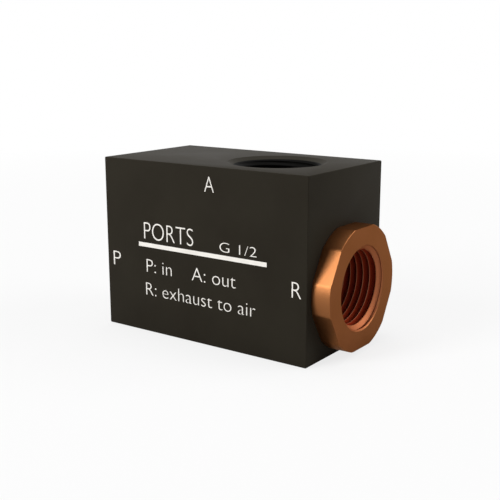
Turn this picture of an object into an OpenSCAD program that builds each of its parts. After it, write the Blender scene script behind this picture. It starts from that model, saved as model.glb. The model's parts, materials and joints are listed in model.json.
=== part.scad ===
// Quick exhaust valve for a pneumatic cylinder, with three female pipe-thread ports.
// Supply air pushes a lipped rubber shuttle onto the exhaust seat and passes it to the outlet.
// When the supply falls, the shuttle closes the supply and the cylinder vents through the exhaust.
// Frame: origin under the middle of the whole valve, on its base. +X runs from the supply port to
// the exhaust port, +Z up through the outlet port. Lengths are in millimetres.

/* [Body] */
// Length of the body along the flow axis
body_length = 62.5; // [58:0.5:80]
// Width of the body
body_width = 35; // [33:0.5:50]
// Height of the body
body_height = 45; // [44:0.5:60]
// Height of the flow axis above the base
axis_height = 16.25; // [15.5:0.25:18]
// Chamfer that breaks the body's outer edges
edge_chamfer = 0.3; // [0.1:0.1:1]

/* [Ports] */
// Tapping diameter of the three ports, for a G 1/2 thread
port_bore = 18.63; // [16:0.01:19.5]
// Tapped depth of the supply port
supply_depth = 14; // [10:0.5:16]
// Tapped depth of the outlet port
outlet_depth = 13; // [10:0.5:14]
// Tapped depth of the exhaust port
exhaust_depth = 15; // [12:0.5:16]
// Radial width of the countersink at the supply and outlet ports
countersink_width = 3.185; // [1.5:0.005:3.5]
// Included angle of that countersink
countersink_angle = 127; // [90:1:140]
// Radial width of the chamfer at the exhaust port's mouth
exhaust_chamfer = 1.3; // [0.8:0.05:1.8]
// Included angle of that chamfer
exhaust_chamfer_angle = 90; // [60:1:120]
// Included angle of the drill point at the bottom of each tapped hole
drill_angle = 118; // [90:1:140]
// Distance from the outlet port's axis to the face that carries the exhaust fitting
outlet_setback = 20; // [18:0.5:24]
// Diameter of the passage from the outlet port down into the chamber
outlet_passage = 15; // [10:0.5:17]

/* [Chamber and seats] */
// Bore of the chamber that guides the shuttle
chamber_bore = 25; // [24:0.1:25.5]
// Bore of the inlet passage and of the exhaust fitting's nose
seat_bore = 14; // [11:0.5:14.5]
// Length of the inlet passage, from the supply port's drill point to the supply seat
inlet_length = 5; // [3:0.5:8]
// Height of the supply seat above the chamber floor
seat_rise = 1.5; // [0.5:0.1:2.5]
// Radial width of the sealing land on both seats
seat_land = 1.2; // [0.8:0.1:1.5]
// Angle of each seat's outer bevel to the flow axis
seat_bevel = 30; // [15:1:45]

/* [Exhaust fitting] */
// Hexagon flange, across flats
hex_across_flats = 30; // [29.5:0.1:34]
// Diameter to which the hexagon's corners are turned
hex_corner_diameter = 31.3; // [30.6:0.1:34]
// Thickness of the hexagon flange
flange_thickness = 5; // [4:0.5:8]
// Chamfer on the flange's turned edges
flange_chamfer = 0.1; // [0.05:0.05:0.5]
// Radial step from the chamber's wall out to the pitch line of the fitting's thread
thread_step = 0.5; // [0.4:0.05:0.6]
// Chamfer that leads the fitting's thread into the body
thread_lead = 0.6; // [0.3:0.1:1]
// Spare tapped length past the end of the fitting's thread
tap_runout = 0.6; // [0.3:0.1:0.8]
// Wall of the nose around its bore
nose_wall = 2.5; // [1.8:0.1:3]

/* [Shuttle] */
// Length of the shuttle between its two sealing faces
shuttle_length = 8.5; // [7:0.5:10]
// Travel of the shuttle from the supply seat to the exhaust seat
shuttle_travel = 3.5; // [2:0.5:4.5]
// Overlap of the shuttle's faces past the sealing lands
seal_overlap = 0.5; // [0.2:0.1:0.8]
// Chamfer round the shuttle's exhaust sealing face
shuttle_chamfer = 0.3; // [0.2:0.1:0.5]
// Thickness of the web behind the lip's groove
web_thickness = 3.4; // [2.5:0.1:4.5]
// Width of the lip's groove at its bottom
groove_width = 0.6; // [0.3:0.1:1]
// Thickness of the lip at its root
lip_root = 1.1; // [0.8:0.1:1.3]
// Thickness of the lip at its edge
lip_edge = 0.9; // [0.5:0.1:1.2]
// Length of the lip's straight wiping band
lip_band = 1.2; // [0.6:0.1:2]
// Reach of the lip past the exhaust sealing face
lip_reach = 1; // [0.2:0.1:2]

/* [Seal ring] */
// Diameter of the ring's cord, as squeezed in its gland
ring_cord = 1.9; // [1.5:0.1:2]
// Depth of the ring's neck below the pitch line of the fitting's thread
neck_depth = 1.2; // [1:0.05:1.4]

/* [Clearances] */
// Radial gap between the shuttle's lip and the chamber's wall
lip_clearance = 0.05; // [0.02:0.01:0.1]
// Gap left at a closed seat
seat_gap = 0.02; // [0.01:0.01:0.1]
// Radial gap between the fitting's thread and the body's thread
thread_clearance = 0.03; // [0.02:0.01:0.1]
// Radial room for the seal ring on each side of its cord
ring_room = 0.15; // [0.1:0.05:0.3]
// Gap between the seal ring and the faces that squeeze it
ring_gap = 0.02; // [0.01:0.01:0.05]

/* [Hidden] */
$fn = 96;
// Overshoot of every cut past the face that it starts from
cut = 1;

// Stations along the flow axis
supply_face = -(body_length + flange_thickness) / 2;
exhaust_face = supply_face + body_length;
flange_face = exhaust_face + flange_thickness;
outlet_x = exhaust_face - outlet_setback;
supply_seat = supply_face + supply_depth + drill_point(seat_bore / 2) + inlet_length;
chamber_floor = supply_seat - seat_rise;
shuttle_back = supply_seat + seat_gap;
exhaust_seat = shuttle_back + shuttle_length + shuttle_travel + seat_gap;
shank_end = flange_face - exhaust_depth - drill_point(seat_bore / 2);
gland_floor = exhaust_face - ring_cord - 2 * ring_gap;

// Radii about the flow axis
chamber_r = chamber_bore / 2;
seat_r = seat_bore / 2;
land_r = seat_r + seat_land;
thread_r = chamber_r + thread_step;
neck_r = thread_r - neck_depth;
ring_r = neck_r + ring_room + ring_cord / 2;
gland_r = ring_r + ring_cord / 2 + ring_room;
nose_r = seat_r + nose_wall;
sealing_r = land_r + seal_overlap;
lip_r = chamber_r - lip_clearance;

// Axial length of a drill point between a tapped bore and the passage below it
function drill_point(passage_r) = (port_bore / 2 - passage_r) / tan(drill_angle / 2);

// Turns a shape that is drawn along +Z into the flow axis, at station x
module on_flow_axis(x, inward = 1) {
    translate([x, 0, axis_height]) rotate([0, 90 * inward, 0]) children();
}

// Space of one port, drawn from its mouth along +Z: bevelled rim, tapped bore, drill point, passage
module port_space(depth, rim_width, rim_angle, passage_r, reach) {
    bore_r = port_bore / 2;
    rim_r = bore_r + rim_width;
    rotate_extrude() polygon([
        [0, -cut],
        [rim_r, -cut],
        [rim_r, 0],
        [bore_r, rim_width / tan(rim_angle / 2)],
        [bore_r, depth],
        [passage_r, depth + drill_point(passage_r)],
        [passage_r, reach],
        [0, reach]
    ]);
}

// Outline of a block face with its corners chamfered
module broken_rectangle(length, width) {
    x = length / 2;
    y = width / 2;
    c = edge_chamfer;
    polygon([
        [-x + c, -y], [x - c, -y], [x, -y + c], [x, y - c],
        [x - c, y], [-x + c, y], [-x, y - c], [-x, -y + c]
    ]);
}

// Block with all twelve edges broken, centred
module broken_block(length, width, height) {
    intersection() {
        linear_extrude(height, center = true) broken_rectangle(length, width);
        rotate([90, 0, 0]) linear_extrude(width, center = true) broken_rectangle(length, height);
        rotate([90, 0, 90]) linear_extrude(length, center = true) broken_rectangle(width, height);
    }
}

// Space bored from the exhaust side: chamber round the raised supply seat, fitting thread, ring gland
module chamber_space() {
    tap_r = thread_r + thread_clearance / 2;
    tap_end = shank_end - tap_runout;
    rotate_extrude() polygon([
        [0, supply_seat],
        [land_r, supply_seat],
        [land_r + seat_rise * tan(seat_bevel), chamber_floor],
        [chamber_r, chamber_floor],
        [chamber_r, tap_end - (tap_r - chamber_r)],
        [tap_r, tap_end],
        [tap_r, gland_floor],
        [gland_r, gland_floor],
        [gland_r, exhaust_face + cut],
        [0, exhaust_face + cut]
    ]);
}

module valve_body() {
    color([0.19, 0.18, 0.165]) difference() {
        translate([(supply_face + exhaust_face) / 2, 0, body_height / 2])
            broken_block(body_length, body_width, body_height);
        on_flow_axis(supply_face)
            port_space(supply_depth, countersink_width, countersink_angle, seat_r,
                       supply_seat - supply_face + cut);
        on_flow_axis(0) chamber_space();
        translate([outlet_x, 0, body_height]) rotate([180, 0, 0])
            port_space(outlet_depth, countersink_width, countersink_angle, outlet_passage / 2,
                       body_height - axis_height);
    }
}

// Hexagon flange with two flats level and its corners turned to a cylinder
module hex_flange() {
    corner_r = hex_corner_diameter / 2;
    intersection() {
        rotate(30) cylinder(h = flange_thickness, d = hex_across_flats / cos(30), $fn = 6);
        rotate_extrude() polygon([
            [0, 0],
            [corner_r - flange_chamfer, 0],
            [corner_r, flange_chamfer],
            [corner_r, flange_thickness - flange_chamfer],
            [corner_r - flange_chamfer, flange_thickness],
            [0, flange_thickness]
        ]);
    }
}

// Shank behind the flange: ring neck, threaded length and the nose that carries the exhaust seat
module fitting_shank() {
    shank_r = thread_r - thread_clearance / 2;
    rotate_extrude() polygon([
        [0, exhaust_seat],
        [land_r, exhaust_seat],
        [nose_r, exhaust_seat + (nose_r - land_r) / tan(seat_bevel)],
        [nose_r, shank_end],
        [shank_r - thread_lead, shank_end],
        [shank_r, shank_end + thread_lead],
        [shank_r, gland_floor],
        [neck_r, gland_floor],
        [neck_r, exhaust_face + flange_thickness / 2],
        [0, exhaust_face + flange_thickness / 2]
    ]);
}

module exhaust_fitting() {
    color([0.62, 0.36, 0.2]) difference() {
        union() {
            on_flow_axis(exhaust_face) hex_flange();
            on_flow_axis(0) fitting_shank();
        }
        on_flow_axis(flange_face, -1)
            port_space(exhaust_depth, exhaust_chamfer, exhaust_chamfer_angle, seat_r,
                       flange_face - exhaust_seat + cut);
    }
}

// Points of a round stretch of an outline, from angle a to angle b
function arc(centre, r, a, b, steps = 8) = [
    for (i = [0 : steps]) centre + r * [cos(a + (b - a) * i / steps), sin(a + (b - a) * i / steps)]
];

// Moulded cup: back face on the supply seat, boss towards the exhaust seat, lip flared to the wall
module shuttle_seal() {
    boss_r = sealing_r + shuttle_chamfer;
    root_r = boss_r + groove_width + lip_root;
    tip = shuttle_length + lip_reach;
    color([0.08, 0.08, 0.085]) on_flow_axis(shuttle_back) rotate_extrude() polygon(concat(
        [
            [0, 0],
            [sealing_r, 0],
            [root_r, root_r - sealing_r],
            [root_r, web_thickness],
            [lip_r, tip - lip_band]
        ],
        arc([lip_r - lip_edge / 2, tip - lip_edge / 2], lip_edge / 2, 0, 180),
        arc([boss_r + groove_width / 2, web_thickness + groove_width / 2], groove_width / 2, 0, -180),
        [
            [boss_r, shuttle_length - shuttle_chamfer],
            [sealing_r, shuttle_length],
            [0, shuttle_length]
        ]
    ));
}

module fitting_o_ring() {
    color([0.06, 0.06, 0.06]) on_flow_axis((gland_floor + exhaust_face) / 2)
        rotate_extrude() translate([ring_r, 0]) circle(d = ring_cord);
}

valve_body();
exhaust_fitting();
shuttle_seal();
fitting_o_ring();
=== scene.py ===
"""Looks of a block-shaped pneumatic quick exhaust valve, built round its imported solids."""
import json
import math

import bmesh
import bpy
from mathutils import Matrix, Vector


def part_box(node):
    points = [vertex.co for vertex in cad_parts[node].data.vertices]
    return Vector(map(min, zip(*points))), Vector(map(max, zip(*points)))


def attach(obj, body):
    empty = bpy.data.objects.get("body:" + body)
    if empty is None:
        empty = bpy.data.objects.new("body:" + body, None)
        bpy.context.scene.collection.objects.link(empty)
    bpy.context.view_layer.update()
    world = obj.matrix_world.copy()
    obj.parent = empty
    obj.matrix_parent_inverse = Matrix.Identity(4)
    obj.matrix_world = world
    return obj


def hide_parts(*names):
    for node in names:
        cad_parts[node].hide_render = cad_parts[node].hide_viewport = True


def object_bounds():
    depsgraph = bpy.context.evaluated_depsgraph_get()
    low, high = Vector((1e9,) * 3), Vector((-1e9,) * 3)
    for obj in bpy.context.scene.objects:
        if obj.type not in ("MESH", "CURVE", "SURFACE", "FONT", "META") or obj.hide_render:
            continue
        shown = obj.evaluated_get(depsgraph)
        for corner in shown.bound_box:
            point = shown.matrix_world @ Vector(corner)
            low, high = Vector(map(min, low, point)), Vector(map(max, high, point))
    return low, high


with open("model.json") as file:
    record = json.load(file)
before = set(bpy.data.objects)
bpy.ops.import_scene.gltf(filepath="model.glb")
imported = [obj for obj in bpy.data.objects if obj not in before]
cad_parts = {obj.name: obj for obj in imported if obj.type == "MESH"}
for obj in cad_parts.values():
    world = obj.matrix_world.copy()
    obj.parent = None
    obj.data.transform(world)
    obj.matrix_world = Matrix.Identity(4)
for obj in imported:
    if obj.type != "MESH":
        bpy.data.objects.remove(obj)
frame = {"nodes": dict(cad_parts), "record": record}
cad_low, cad_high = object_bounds()


# Valve body
# A milled aluminium block, black anodised to a satin finish. The supply port is tapped into its left
# end, the outlet port into its top, and the stepped chamber is bored and threaded from its right end.
mounts = {mount["name"]: mount for mount in frame["record"]["mounts"]}
body_low, body_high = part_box("valve_body")
fitting_low, fitting_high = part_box("exhaust_fitting")
shuttle_low, shuttle_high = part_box("shuttle_seal")
ring_low, ring_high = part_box("fitting_o_ring")
axis_height = mounts["supply_port"]["pos_m"][2]
edge_round = 0.0003
edge_round_steps = 3

port_bore = mounts["supply_port"]["dims"]["r_mm"] / 1000
port_root = 0.020955 / 2
port_pitch = 0.001814
countersink_angle = math.radians(127)
countersink_rim = 0.0125
bevel_depth = 0.00075
drill_angle = math.radians(118)
seat_bore = 0.007
seat_land = 0.0012
seat_bevel = math.radians(30)
seat_rise = 0.0015
outlet_passage = 0.0075
port_runout_turns = 1.3
supply_lead = 0.3
outlet_lead = 0.55
port_sides = 128
cut = 0.001

fitting_pitch = 0.0015
fitting_thread = 0.0135
thread_depth = 0.00092
gland_play = 0.00015
tap_runout = 0.0006

flank_slope = math.radians(62.5)
crest_round = 0.1373
crest_steps = 6


def rounded_turn():
    """One turn of a pipe thread, as (share of the pitch, share of the depth), from crest to crest."""
    half = []
    for step in range(crest_steps // 2 + 1):
        slope = flank_slope * step / (crest_steps // 2)
        half.append((crest_round * math.sin(slope), crest_round * (1 - math.cos(slope))))
    depth = 2 * half[-1][1] + (0.5 - 2 * half[-1][0]) * math.tan(flank_slope)
    rise = [(along, height / depth) for along, height in half]
    rise += [(0.5 - along, 1 - height) for along, height in rise[::-1]]
    return rise + [(1 - along, height) for along, height in rise[-2:0:-1]]


thread_turn = rounded_turn()


def thread_height(turns):
    """Height of the thread, 0 to 1, at a place counted in turns."""
    share = turns % 1.0
    before = (thread_turn[-1][0] - 1.0, thread_turn[-1][1])
    for after in thread_turn + [(thread_turn[0][0] + 1.0, thread_turn[0][1])]:
        if share <= after[0]:
            part = (share - before[0]) / (after[0] - before[0])
            return before[1] + part * (after[1] - before[1])
        before = after
    return before[1]


same_angle = 1e-4


def round_columns(count, extra=()):
    """Angles round a turned piece, from 0 to a full turn, with any extra angles that it needs."""
    even = [2 * math.pi * i / count for i in range(count + 1)]
    return sorted(even + [a for a in extra if all(abs(a - e) > same_angle for e in even)])


def plain_row(angles, along, radius):
    """A plain ring of a turned piece."""
    return [(along, radius) for _ in angles]


def thread_rows(angles, start, end, pitch, radius_at, lead=0.0, hand=1):
    """Rings that follow a thread from start to end; radius_at(along, height) gives the wall.

    lead shifts the start, in turns. hand is 1, or -1 where the rings are turned end for end later.
    The helix and the lead pull rings back, so the first of them are counted from two turns before.
    """
    rows = []
    first_turn = -2
    for turn in range(first_turn, math.ceil((end - start) / pitch) + 1):
        for share, _ in thread_turn:
            row = []
            for angle in angles:
                helix = hand * angle / (2 * math.pi) + lead
                along = min(max(start + pitch * (turn + share + helix), start), end)
                height = thread_height((along - start) / pitch - helix)
                row.append((along, radius_at(along, height)))
            rows.append(row)
    return rows


weld_distance = 2e-7
sliver_width = 1e-7


def weld(work):
    """Joins points that coincide, drops faces without area and turns all faces outwards."""
    bmesh.ops.remove_doubles(work, verts=work.verts, dist=weld_distance)
    bmesh.ops.dissolve_degenerate(work, edges=work.edges, dist=sliver_width)
    bmesh.ops.recalc_face_normals(work, faces=work.faces)


def turned_mesh(name, angles, rows, place):
    """A closed mesh turned about an axis from rings of (along, radius), one pair for each angle."""
    work = bmesh.new()
    grid = []
    for row in rows:
        points = [
            place @ Vector((radius * math.cos(angle), radius * math.sin(angle), along))
            for angle, (along, radius) in zip(angles, row)
        ]
        grid.append([work.verts.new(point) for point in points])
    for lower, upper in zip(grid, grid[1:]):
        for i in range(len(angles) - 1):
            work.faces.new((lower[i], lower[i + 1], upper[i + 1], upper[i]))
    weld(work)
    mesh = bpy.data.meshes.new(name)
    work.to_mesh(mesh)
    work.free()
    return mesh


def add_piece(name, mesh):
    """Puts a mesh into the scene."""
    piece = bpy.data.objects.new(name, mesh)
    bpy.context.scene.collection.objects.link(piece)
    return piece


def smooth_between_edges(mesh, degrees=24):
    """Smooth shading that stops at every edge sharper than this."""
    mesh.shade_smooth()
    mesh.set_sharp_from_angle(angle=math.radians(degrees))


def drill_point(passage):
    """Length of the drill point between a port's bore and the passage below it."""
    return (port_bore - passage) / math.tan(drill_angle / 2)


def port_rows(angles, depth, rim, rim_angle, lead, hand=1, thread_start=0.0):
    """Rings of a port from its mouth inwards: bevelled rim, then the thread, which runs out below.

    thread_start is the depth on the bevel where the rings begin to follow the thread.
    """
    runout = port_runout_turns * port_pitch
    shifted_lead = lead - thread_start / port_pitch

    def wall(along, height):
        bevel = rim - along * math.tan(rim_angle / 2)
        fade = min(1.0, max(0.0, (depth - along) / runout))
        return max(bevel, port_bore + (port_root - port_bore) * height * fade)

    threaded = thread_rows(angles, thread_start, depth, port_pitch, wall, shifted_lead, hand)
    return [plain_row(angles, 0.0, rim)] + threaded


def port_cutter(name, depth, passage, reach, place, lead):
    """Solid that cuts one port into the body, drawn from the mouth along +Z."""
    angles = round_columns(port_sides)
    rows = [plain_row(angles, -cut, 0.0), plain_row(angles, -cut, countersink_rim)]
    rows += port_rows(
        angles, depth, countersink_rim, countersink_angle, lead, thread_start=bevel_depth
    )
    rows += [
        plain_row(angles, depth + drill_point(passage), passage),
        plain_row(angles, reach, passage),
        plain_row(angles, reach, 0.0),
    ]
    return add_piece(name, turned_mesh(name, angles, rows, place))


def mouth_depth(port, face):
    """Tapped depth of a port below the face that it opens in."""
    along = Vector(mounts[port]["pos_m"]).dot(Vector(mounts[port]["axis"]))
    return face - along + mounts[port]["dims"]["length_mm"] / 1000


flow_axis = Matrix.Translation((0, 0, axis_height)) @ Matrix.Rotation(math.pi / 2, 4, "Y")
supply_depth = mouth_depth("supply_port", -body_low.x)
outlet_depth = mouth_depth("outlet_port", body_high.z)
exhaust_depth = mouth_depth("exhaust_port", fitting_high.x)
supply_seat = shuttle_low.x
chamber_radius = shuttle_high.y
shank_end = fitting_high.x - exhaust_depth - drill_point(seat_bore)
gland_floor = ring_low.x
gland_radius = ring_high.y + gland_play

supply_cutter = port_cutter(
    "supply_cutter", supply_depth, seat_bore, supply_seat + cut - body_low.x,
    Matrix.Translation((body_low.x, 0, 0)) @ flow_axis, supply_lead,
)
outlet_along = mounts["outlet_port"]["pos_m"][0]
outlet_cutter = port_cutter(
    "outlet_cutter", outlet_depth, outlet_passage, body_high.z - axis_height,
    Matrix.Translation((outlet_along, 0, body_high.z)) @ Matrix.Rotation(math.pi, 4, "X"), outlet_lead,
)


def tapped_wall(along, height):
    """Wall of the body's thread for the fitting."""
    return fitting_thread - thread_depth + thread_depth * height


chamber_angles = round_columns(port_sides)
tap_end = shank_end - tap_runout
land_radius = seat_bore + seat_land
seat_foot = land_radius + seat_rise * math.tan(seat_bevel)
chamber_rows = [
    plain_row(chamber_angles, supply_seat, 0.0),
    plain_row(chamber_angles, supply_seat, land_radius),
    plain_row(chamber_angles, supply_seat - seat_rise, seat_foot),
    plain_row(chamber_angles, supply_seat - seat_rise, chamber_radius),
    plain_row(chamber_angles, tap_end, chamber_radius),
]
chamber_rows += thread_rows(
    chamber_angles, tap_end, gland_floor, fitting_pitch, tapped_wall, tap_runout / fitting_pitch
)
chamber_rows += [
    plain_row(chamber_angles, gland_floor, gland_radius),
    plain_row(chamber_angles, body_high.x + cut, gland_radius),
    plain_row(chamber_angles, body_high.x + cut, 0.0),
]
chamber_cutter = add_piece(
    "chamber_cutter", turned_mesh("chamber_cutter", chamber_angles, chamber_rows, flow_axis)
)

block = bmesh.new()
bmesh.ops.create_cube(block, size=1.0)
block_middle = Matrix.Translation((body_low + body_high) / 2)
block_size = Matrix.Diagonal((body_high - body_low).to_4d())
bmesh.ops.transform(block, verts=block.verts, matrix=block_middle @ block_size)
bmesh.ops.bevel(
    block, geom=block.edges[:], affect="EDGES",
    offset=edge_round, segments=edge_round_steps, profile=0.5,
)
block_mesh = bpy.data.meshes.new("milled_block")
block.to_mesh(block_mesh)
block.free()
body_piece = add_piece("milled_body", block_mesh)


def finished_mesh(source):
    """The mesh that an object shows once its modifiers or its lettering are worked out."""
    bpy.context.view_layer.update()
    worked_out = source.evaluated_get(bpy.context.evaluated_depsgraph_get())
    return bpy.data.meshes.new_from_object(worked_out)


for cutter in (supply_cutter, outlet_cutter, chamber_cutter):
    cutting = body_piece.modifiers.new(cutter.name, "BOOLEAN")
    cutting.operation = "DIFFERENCE"
    cutting.solver = "EXACT"
    cutting.object = cutter
bored = finished_mesh(body_piece)
body_piece.modifiers.clear()
body_piece.data = bored
bored.name = "milled_body"
welded = bmesh.new()
welded.from_mesh(bored)
weld(welded)
welded.to_mesh(bored)
welded.free()
for cutter in (supply_cutter, outlet_cutter, chamber_cutter):
    bpy.data.objects.remove(cutter)
smooth_between_edges(bored)


face_margin = 0.00005


def port_zone(point):
    """Names the part of the supply or outlet port that a face of the body lies in, if any."""
    from_flow_axis = math.hypot(point.y, point.z - axis_height)
    from_outlet_axis = math.hypot(point.x - outlet_along, point.y)
    supply = (point.x - body_low.x, supply_seat - body_low.x, from_flow_axis)
    outlet = (body_high.z - point.z, body_high.z - axis_height, from_outlet_axis)
    for depth, reach, radius in (supply, outlet):
        if face_margin < depth < reach and radius < countersink_rim:
            return "bevel" if depth < bevel_depth else "port"
    return None


# Faces on the ports' countersinks are marked 'bevel' for a painted sheen, a tone lighter than the rest
# of the block.
zones = [port_zone(face.center) for face in bored.polygons]
# Faces deeper in the supply and outlet ports and their passages are marked 'port' for painted shade, a
# near-black tone.
for name in ("bevel", "port"):
    marks = bored.attributes.new(name, "FLOAT", "FACE")
    marks.data.foreach_set("value", [1.0 if zone == name else 0.0 for zone in zones])
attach(body_piece, "housing")
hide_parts("valve_body")


def new_material(name):
    """A material with its Principled shader, as (material, nodes, links, shader)."""
    material = bpy.data.materials.new(name)
    material.use_nodes = True
    tree = material.node_tree
    return material, tree.nodes, tree.links, tree.nodes["Principled BSDF"]


def fine_grain_group():
    """Group with the fine tooth of a blasted or moulded surface and a slow cloud of tone over it."""
    tree = bpy.data.node_groups.new("fine_grain", "ShaderNodeTree")
    tree.interface.new_socket("Grains per metre", in_out="INPUT", socket_type="NodeSocketFloat")
    tree.interface.new_socket("Clouds per metre", in_out="INPUT", socket_type="NodeSocketFloat")
    tree.interface.new_socket("Tooth", in_out="OUTPUT", socket_type="NodeSocketFloat")
    tree.interface.new_socket("Cloud", in_out="OUTPUT", socket_type="NodeSocketFloat")
    group_in = tree.nodes.new("NodeGroupInput")
    group_out = tree.nodes.new("NodeGroupOutput")
    place = tree.nodes.new("ShaderNodeTexCoord")
    textures = (("Grains per metre", "Tooth", 3.0), ("Clouds per metre", "Cloud", 4.0))
    for source, target, detail in textures:
        noise = tree.nodes.new("ShaderNodeTexNoise")
        noise.inputs["Detail"].default_value = detail
        tree.links.new(place.outputs["Object"], noise.inputs["Vector"])
        tree.links.new(group_in.outputs[source], noise.inputs["Scale"])
        tree.links.new(noise.outputs["Fac"], group_out.inputs[target])
    return tree


fine_grain = fine_grain_group()


def place_grain(nodes, grains, clouds):
    """The fine grain group in one material."""
    grain = nodes.new("ShaderNodeGroup")
    grain.node_tree = fine_grain
    grain.inputs["Grains per metre"].default_value = grains
    grain.inputs["Clouds per metre"].default_value = clouds
    return grain


cloud_middle = (0.3, 0.7)


def tone_ramp(nodes, links, source, dark, light, over=cloud_middle):
    """Colour that runs from dark to light while the source goes over a part of its range."""
    ramp = nodes.new("ShaderNodeValToRGB")
    for stop, place, tone in zip(ramp.color_ramp.elements, over, (dark, light)):
        stop.position = place
        stop.color = (*tone, 1.0)
    links.new(source, ramp.inputs["Fac"])
    return ramp.outputs["Color"]


def value_range(nodes, links, source, low, high, over=cloud_middle):
    """Number that runs from low to high while the source goes over a part of its range."""
    spread = nodes.new("ShaderNodeMapRange")
    ends = {"From Min": over[0], "From Max": over[1], "To Min": low, "To Max": high}
    for socket, value in ends.items():
        spread.inputs[socket].default_value = value
    links.new(source, spread.inputs["Value"])
    return spread.outputs["Result"]


def bump(nodes, links, shader, height, strength, distance):
    """Raises the surface by a height texture."""
    node = nodes.new("ShaderNodeBump")
    node.inputs["Strength"].default_value = strength
    node.inputs["Distance"].default_value = distance
    links.new(height, node.inputs["Height"])
    links.new(node.outputs["Normal"], shader.inputs["Normal"])


def blend_by_attribute(nodes, links, name, plain, marked, kind="RGBA"):
    """Colour or number that goes from plain to marked as a mesh attribute goes from 0 to 1."""
    share = nodes.new("ShaderNodeAttribute")
    share.attribute_name = name
    blend = nodes.new("ShaderNodeMix")
    blend.data_type = kind
    links.new(share.outputs["Fac"], blend.inputs["Factor"])
    links.new(plain, blend.inputs["A"])
    blend.inputs["B"].default_value = marked
    return blend.outputs["Result"]


black_dark = (0.0204, 0.0174, 0.0126)
black_light = (0.0236, 0.0204, 0.0148)
black_spread = (0.35, 0.65)
# Painted sheen: the ports' countersinks are given a lighter tone than the rest of the block.
bevel_painted_sheen = (0.0285, 0.0255, 0.0200, 1.0)
# Painted shade: below the countersinks, inside the supply and outlet ports, the block is near black.
port_painted_shade = (0.0022, 0.0021, 0.0018, 1.0)

anodised, nodes, links, shader = new_material("black_anodised_aluminium")
grain = place_grain(nodes, grains=9000.0, clouds=60.0)
cloud = grain.outputs["Cloud"]
outside = tone_ramp(nodes, links, cloud, black_dark, black_light, over=black_spread)
# Painted sheen on the countersinks.
tone_with_painted_sheen = blend_by_attribute(nodes, links, "bevel", outside, bevel_painted_sheen)
# Painted shade inside the ports.
tone_with_painted_shade = blend_by_attribute(nodes, links, "port", tone_with_painted_sheen, port_painted_shade)
links.new(tone_with_painted_shade, shader.inputs["Base Color"])
links.new(value_range(nodes, links, cloud, low=0.46, high=0.52), shader.inputs["Roughness"])
shader.inputs["Specular IOR Level"].default_value = 0.015
bump(nodes, links, shader, grain.outputs["Tooth"], strength=0.08, distance=0.00002)
body_piece.data.materials.clear()
body_piece.data.materials.append(anodised)


# Printed marks
# White ink, screen printed on the front face: the port letters, a rule and plain lines that say what
# each port is for. The print is a film that lies on the anodised face.
ink_film = 0.00002
stroke_trim = -0.017
stroke_steps = 6
print_left = body_low.x
print_top = body_high.z


def printed_words(work, words, left, right, top, bottom):
    """Adds one line of print to the mesh; sizes are from the face's left and top edges, in metres."""
    font = bpy.data.curves.new("words", "FONT")
    font.body = words
    font.extrude = ink_film / 2
    font.offset = stroke_trim
    font.resolution_u = stroke_steps
    letters = bpy.data.objects.new("words", font)
    bpy.context.scene.collection.objects.link(letters)
    shape = finished_mesh(letters)
    bpy.data.objects.remove(letters)
    across = [v.co.x for v in shape.vertices]
    upward = [v.co.y for v in shape.vertices]
    wide = (right - left) / (max(across) - min(across))
    tall = (bottom - top) / (max(upward) - min(upward))
    for v in shape.vertices:
        v.co = Vector((
            print_left + left + (v.co.x - min(across)) * wide,
            body_low.y - ink_film / 2 - v.co.z,
            print_top - bottom + (v.co.y - min(upward)) * tall,
        ))
    work.from_mesh(shape)
    bpy.data.meshes.remove(shape)


def printed_bar(work, left, right, top, bottom):
    """Adds a printed rule to the mesh."""
    bar = bmesh.ops.create_cube(work, size=1.0)["verts"]
    across = print_left + (left + right) / 2
    upward = print_top - (top + bottom) / 2
    centre = Matrix.Translation((across, body_low.y - ink_film / 2, upward))
    size = Matrix.Diagonal((right - left, ink_film, bottom - top, 1.0))
    bmesh.ops.transform(work, verts=bar, matrix=centre @ size)


letter_height = 0.00375
port_letters = (
    ("A", 0.0331, 0.0360, 0.0024),
    ("P", 0.0021, 0.0047, 0.0248),
    ("R", 0.0584, 0.0610, 0.0247),
)
rule_edges = (0.0113, 0.0514, 0.0212, 0.0223)
legend_lines = (
    ("PORTS", 0.0132, 0.0294, 0.0158, 0.0202),
    ("G 1/2", 0.0376, 0.0485, 0.0180, 0.0204),
    ("P: in    A: out", 0.0138, 0.0424, 0.0255, 0.0289),
    ("R: exhaust to air", 0.0134, 0.0482, 0.0318, 0.0351),
)
ink = bmesh.new()
for letter, left, right, top in port_letters:
    printed_words(ink, letter, left, right, top, top + letter_height)
printed_bar(ink, *rule_edges)
for words, left, right, top, bottom in legend_lines:
    printed_words(ink, words, left, right, top, bottom)
weld(ink)
ink_mesh = bpy.data.meshes.new("face_print")
ink.to_mesh(ink_mesh)
ink.free()
print_piece = add_piece("face_print", ink_mesh)
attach(print_piece, "housing")

ink_dark = (0.74, 0.71, 0.66)
ink_light = (0.82, 0.79, 0.74)

white_ink, nodes, links, shader = new_material("white_ink")
grain = place_grain(nodes, grains=12000.0, clouds=300.0)
cloud = grain.outputs["Cloud"]
links.new(tone_ramp(nodes, links, cloud, ink_dark, ink_light), shader.inputs["Base Color"])
links.new(value_range(nodes, links, cloud, low=0.45, high=0.6), shader.inputs["Roughness"])
bump(nodes, links, shader, grain.outputs["Tooth"], strength=0.1, distance=0.00001)
print_piece.data.materials.append(white_ink)


# Shuttle and seal ring
# Two mouldings of black nitrile rubber: the lipped cup that slides between the two seats, and the ring
# that seals the fitting's flange to the block. Both keep the form of their solids.
rubber_dark = (0.012, 0.012, 0.012)
rubber_light = (0.022, 0.021, 0.020)

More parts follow.
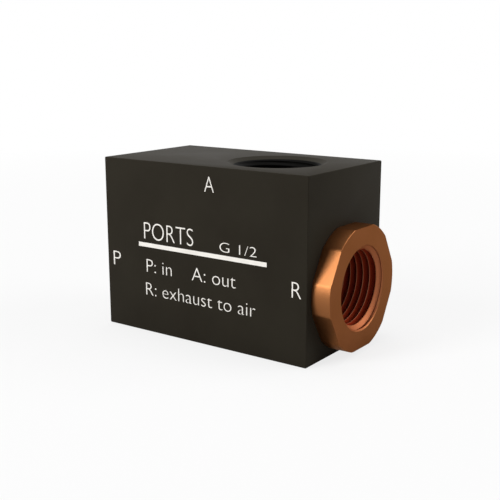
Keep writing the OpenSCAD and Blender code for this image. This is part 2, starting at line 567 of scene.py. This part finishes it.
rubber, nodes, links, shader = new_material("moulded_rubber")
grain = place_grain(nodes, grains=5000.0, clouds=120.0)
cloud = grain.outputs["Cloud"]
links.new(tone_ramp(nodes, links, cloud, rubber_dark, rubber_light), shader.inputs["Base Color"])
links.new(value_range(nodes, links, cloud, low=0.5, high=0.62), shader.inputs["Roughness"])
bump(nodes, links, shader, grain.outputs["Tooth"], strength=0.15, distance=0.00003)
for moulded in ("shuttle_seal", "fitting_o_ring"):
    frame["nodes"][moulded].data.materials.clear()
    frame["nodes"][moulded].data.materials.append(rubber)


# Exhaust fitting
# One turned piece of bronze, screwed into the right end of the block: a hexagon flange with its corners
# turned off, a neck for the seal ring, a threaded shank and the nose that carries the exhaust seat.
hex_flat = (fitting_high.z - fitting_low.z) / 2
hex_corner = fitting_high.y
flat_step = math.pi / 3
flange_chamfer = 0.0001
exhaust_rim = 0.0106
exhaust_rim_angle = math.radians(90)
exhaust_lead = 0.08
neck_radius = 0.0118
nose_radius = 0.0095
thread_play = 0.00005
fitting_sides = 120

half_flat = math.acos(hex_flat / hex_corner)
flat_ends = [
    (flat_step * i + side * half_flat) % (2 * math.pi) for i in range(6) for side in (-1, 1)
]
fitting_angles = round_columns(fitting_sides, flat_ends)


def hex_row(along, inset):
    """Ring of the hexagon with its corners turned to a cylinder."""
    row = []
    for angle in fitting_angles:
        from_flat = (angle + flat_step / 2) % flat_step - flat_step / 2
        row.append((along, min(hex_flat / math.cos(from_flat), hex_corner - inset)))
    return row


def shank_wall(along, height):
    """Outside of the fitting's thread, bevelled where it enters the body."""
    crest = fitting_thread - thread_play - thread_depth * (1 - height)
    return min(crest, fitting_thread - thread_depth + (along - shank_end))


mouth = fitting_high.x
exhaust_seat = fitting_low.x
nose_shoulder = exhaust_seat + (nose_radius - land_radius) / math.tan(seat_bevel)
exhaust_rows = port_rows(
    fitting_angles, exhaust_depth, exhaust_rim, exhaust_rim_angle, exhaust_lead, hand=-1
)
fitting_rows = [
    plain_row(fitting_angles, exhaust_seat, seat_bore),
    plain_row(fitting_angles, shank_end, seat_bore),
]
fitting_rows += [[(mouth - along, radius) for along, radius in row] for row in exhaust_rows[::-1]]
fitting_rows += [
    hex_row(mouth, flange_chamfer),
    hex_row(mouth - flange_chamfer, 0.0),
    hex_row(body_high.x + flange_chamfer, 0.0),
    hex_row(body_high.x, flange_chamfer),
    plain_row(fitting_angles, body_high.x, neck_radius),
    plain_row(fitting_angles, gland_floor, neck_radius),
]
fitting_rows += thread_rows(fitting_angles, shank_end, gland_floor, fitting_pitch, shank_wall)[::-1]
fitting_rows += [
    plain_row(fitting_angles, shank_end, nose_radius),
    plain_row(fitting_angles, nose_shoulder, nose_radius),
    plain_row(fitting_angles, exhaust_seat, land_radius),
    plain_row(fitting_angles, exhaust_seat, seat_bore),
]
fitting_mesh = turned_mesh("turned_fitting", fitting_angles, fitting_rows, flow_axis)
fitting_piece = add_piece("turned_fitting", fitting_mesh)
smooth_between_edges(fitting_mesh)


groove_edge = 0.0001
bottom_edge = 0.0001


# This share sets where the fitting gets painted shade in its grooves and painted highlights on its
# crests.
def groove_share(point):
    """How far a point lies down in the exhaust thread's grooves, past its first crest.

    It is 0 on a crest, 1 below it and where the thread runs out, and None outside the thread.
    """
    inward = mouth - point.x
    radius = math.hypot(point.y, point.z - axis_height)
    turn = math.atan2(point.y, axis_height - point.z) / (2 * math.pi)
    first_crest = port_pitch * (1 + exhaust_lead - turn)
    if not first_crest < inward < exhaust_depth + bottom_edge or radius > exhaust_rim:
        return None
    if inward > exhaust_depth - port_pitch:
        return 1.0
    return min(1.0, (radius - port_bore) / groove_edge)


def rim_point(point):
    """Whether a point lies in the exhaust mouth, between the end face and the thread's first crest."""
    inside = math.hypot(point.y, point.z - axis_height) < exhaust_rim
    below_face = flange_chamfer < mouth - point.x < exhaust_depth
    return inside and below_face and groove_share(point) is None


fitting_points = [vertex.co for vertex in fitting_mesh.vertices]
thread_shares = [groove_share(point) for point in fitting_points]
fitting_marks = {
    # The groove mark is for painted shade: dark red down in the thread's grooves and where the thread
    # runs out.
    "groove": [0.0 if share is None else share for share in thread_shares],
    # The 'crest' mark is for painted highlights: pale lines along the thread's crests.
    "crest": [0.0 if share is None else 1.0 - share for share in thread_shares],
    # The 'side' mark takes in all of the fitting but its end face, for a painted highlight: a lighter
    # bronze than the end face.
    "side": [0.0 if point.x > mouth - flange_chamfer / 2 else 1.0 for point in fitting_points],
    # The 'rim' mark is for a painted highlight on the bevelled rim inside the exhaust mouth.
    "rim": [1.0 if rim_point(point) else 0.0 for point in fitting_points],
}
for name, values in fitting_marks.items():
    fitting_mesh.attributes.new(name, "FLOAT", "POINT").data.foreach_set("value", values)
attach(fitting_piece, "housing")
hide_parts("exhaust_fitting")

bronze_dark = (0.156, 0.055, 0.0205)
bronze_light = (0.184, 0.066, 0.0262)
bronze_glance = (0.85, 0.63, 0.51, 1.0)
bronze_marks = (
    # Painted highlight: the flange's sides and the rest of the fitting are a lighter bronze than the
    # end face.
    ("side", (0.258, 0.100, 0.036, 1.0)),
    # Painted highlight: the bevelled rim inside the exhaust mouth has its own bronze tone, lighter than
    # the end face.
    ("rim", (0.27, 0.089, 0.038, 1.0)),
    # Painted highlight: pale lines along the crests of the exhaust thread.
    ("crest", (0.34, 0.17, 0.11, 1.0)),
    # Painted shade: dark red down in the exhaust thread's grooves and in its run-out.
    ("groove", (0.23, 0.026, 0.009, 1.0)),
)
dull_marks = (("rim", 0.5), ("groove", 0.8))

bronze, nodes, links, shader = new_material("turned_bronze")
grain = place_grain(nodes, grains=7000.0, clouds=90.0)
cloud = grain.outputs["Cloud"]
tone = tone_ramp(nodes, links, cloud, bronze_dark, bronze_light)
for name, marked in bronze_marks:
    tone = blend_by_attribute(nodes, links, name, tone, marked)
links.new(tone, shader.inputs["Base Color"])
satin = value_range(nodes, links, cloud, low=0.32, high=0.38)
for name, marked in dull_marks:
    satin = blend_by_attribute(nodes, links, name, satin, marked, "FLOAT")
links.new(satin, shader.inputs["Roughness"])
shader.inputs["Specular Tint"].default_value = bronze_glance
shader.inputs["Metallic"].default_value = 1.0
bump(nodes, links, shader, grain.outputs["Tooth"], strength=0.05, distance=0.00002)
fitting_mesh.materials.append(bronze)


# Studio
# A plain pale floor that runs to the horizon, a white surround and soft lamps. The floor and surround
# show as white to the eye and in reflections. The floor keeps part of its shading for the shadow, and
# in reflections the strip beside the valve keeps most of it.
floor_reach = 12.0
floor_sides = 64
floor_gap = 0.00005
floor_tone = (0.72, 0.72, 0.72, 1.0)
floor_share_lit = 0.22
floor_fade = (0.10, 0.45)
mirror_fade = (0.045, 0.10)
mirror_white = 0.3
surround_white = (1.0, 1.0, 1.0, 1.0)
ambient_strength = 0.25
seen_strength = 1.0


def combined(nodes, links, operation, first, second):
    """Number worked out from two others."""
    node = nodes.new("ShaderNodeMath")
    node.operation = operation
    links.new(first, node.inputs[0])
    links.new(second, node.inputs[1])
    return node.outputs["Value"]


def view_rays(nodes, links, path):
    """1 for rays of sight, whether direct, mirrored or through glass, and 0 for rays of light."""
    looks = path.outputs["Is Camera Ray"]
    for ray in ("Is Glossy Ray", "Is Transmission Ray"):
        looks = combined(nodes, links, "MAXIMUM", looks, path.outputs[ray])
    return looks


def show_by_share(nodes, links, share, lit, seen, surface):
    """Feeds a surface with its lit shader where the share is 0 and with the seen one where it is 1."""
    blend = nodes.new("ShaderNodeMixShader")
    links.new(share, blend.inputs["Fac"])
    links.new(lit, blend.inputs[1])
    links.new(seen, blend.inputs[2])
    links.new(blend.outputs["Shader"], surface)


floor_shape = bmesh.new()
bmesh.ops.create_circle(floor_shape, cap_ends=True, segments=floor_sides, radius=floor_reach)
floor_mesh = bpy.data.meshes.new("floor")
floor_shape.to_mesh(floor_mesh)
floor_shape.free()
floor = add_piece("floor", floor_mesh)
floor.location.z = -floor_gap
pale, nodes, links, shader = new_material("pale_floor")
shader.inputs["Base Color"].default_value = floor_tone
shader.inputs["Roughness"].default_value = 0.9
shader.inputs["Specular IOR Level"].default_value = 0.1
white = nodes.new("ShaderNodeEmission")
place = nodes.new("ShaderNodeTexCoord")
away = nodes.new("ShaderNodeVectorMath")
away.operation = "LENGTH"
links.new(place.outputs["Object"], away.inputs[0])
distance = away.outputs["Value"]
whiteness = value_range(nodes, links, distance, low=1 - floor_share_lit, high=1.0, over=floor_fade)
beside = value_range(nodes, links, distance, low=mirror_white, high=1.0, over=mirror_fade)
path = nodes.new("ShaderNodeLightPath")
mirrored = nodes.new("ShaderNodeMix")
mirrored.data_type = "FLOAT"
mirrored.inputs["A"].default_value = 1.0
links.new(path.outputs["Is Glossy Ray"], mirrored.inputs["Factor"])
links.new(beside, mirrored.inputs["B"])
share = view_rays(nodes, links, path)
for part in (whiteness, mirrored.outputs["Result"]):
    share = combined(nodes, links, "MULTIPLY", share, part)
show_by_share(
    nodes, links, share, lit=shader.outputs["BSDF"], seen=white.outputs["Emission"],
    surface=nodes["Material Output"].inputs["Surface"],
)
floor.data.materials.append(pale)

surround = bpy.data.worlds.new("surround")
bpy.context.scene.world = surround
surround.use_nodes = True
nodes, links = surround.node_tree.nodes, surround.node_tree.links
ambient = nodes["Background"]
backdrop = nodes.new("ShaderNodeBackground")
for light, strength in ((ambient, ambient_strength), (backdrop, seen_strength)):
    light.inputs["Color"].default_value = surround_white
    light.inputs["Strength"].default_value = strength
show_by_share(
    nodes, links, view_rays(nodes, links, nodes.new("ShaderNodeLightPath")),
    lit=ambient.outputs["Background"], seen=backdrop.outputs["Background"],
    surface=nodes["World Output"].inputs["Surface"],
)

valve_middle = (cad_low + cad_high) / 2


def soft_lamp(name, direction, distance, width, height, radiance):
    """A soft lamp that faces the valve."""
    lamp = bpy.data.lights.new(name, "AREA")
    lamp.shape = "RECTANGLE"
    lamp.size = width
    lamp.size_y = height
    lamp.energy = radiance * math.pi * width * height
    holder = bpy.data.objects.new(name, lamp)
    bpy.context.scene.collection.objects.link(holder)
    towards = Vector(direction).normalized()
    holder.location = valve_middle + towards * distance
    holder.rotation_euler = towards.to_track_quat("Z", "Y").to_euler()
    holder.visible_camera = False


soft_lamp(
    "key_lamp", direction=(-0.36, -0.80, 0.44), distance=1.0, width=0.34, height=0.85, radiance=8.6
)
soft_lamp(
    "side_lamp", direction=(0.66, 0.46, 0.47), distance=0.9, width=0.60, height=0.65, radiance=3.4
)
soft_lamp(
    "top_lamp", direction=(-0.10, 0.05, 1.0), distance=1.0, width=0.60, height=0.60, radiance=4.5
)


# Camera
# Level camera at the photograph's angle, with its distance and aim in body heights and its focal length
# in pixels of a square image 500 pixels wide.
image_width = 500
focal_pixels = 875.2
view_azimuth = math.radians(35.517)
view_elevation = math.radians(12.890)
view_distance = 5.0977
aim_right = 0.0522
aim_up = -0.0345

body_height = body_high.z - body_low.z
back = Vector((
    math.sin(view_azimuth) * math.cos(view_elevation),
    -math.cos(view_azimuth) * math.cos(view_elevation),
    math.sin(view_elevation),
))
right = Vector((math.cos(view_azimuth), math.sin(view_azimuth), 0.0))
up = back.cross(right)
lens = bpy.data.cameras.new("camera")
lens.sensor_width = 36.0
lens.lens = focal_pixels * lens.sensor_width / image_width
lens.clip_start = 0.01
lens.clip_end = 100.0
camera = bpy.data.objects.new("camera", lens)
bpy.context.scene.collection.objects.link(camera)
aim_shift = aim_right * right + aim_up * up
stand = (body_low + body_high) / 2 + body_height * (view_distance * back + aim_shift)
camera.matrix_world = Matrix.Translation(stand) @ Matrix((right, up, back)).transposed().to_4x4()
bpy.context.scene.camera = camera
bpy.context.scene.view_settings.view_transform = "Standard"
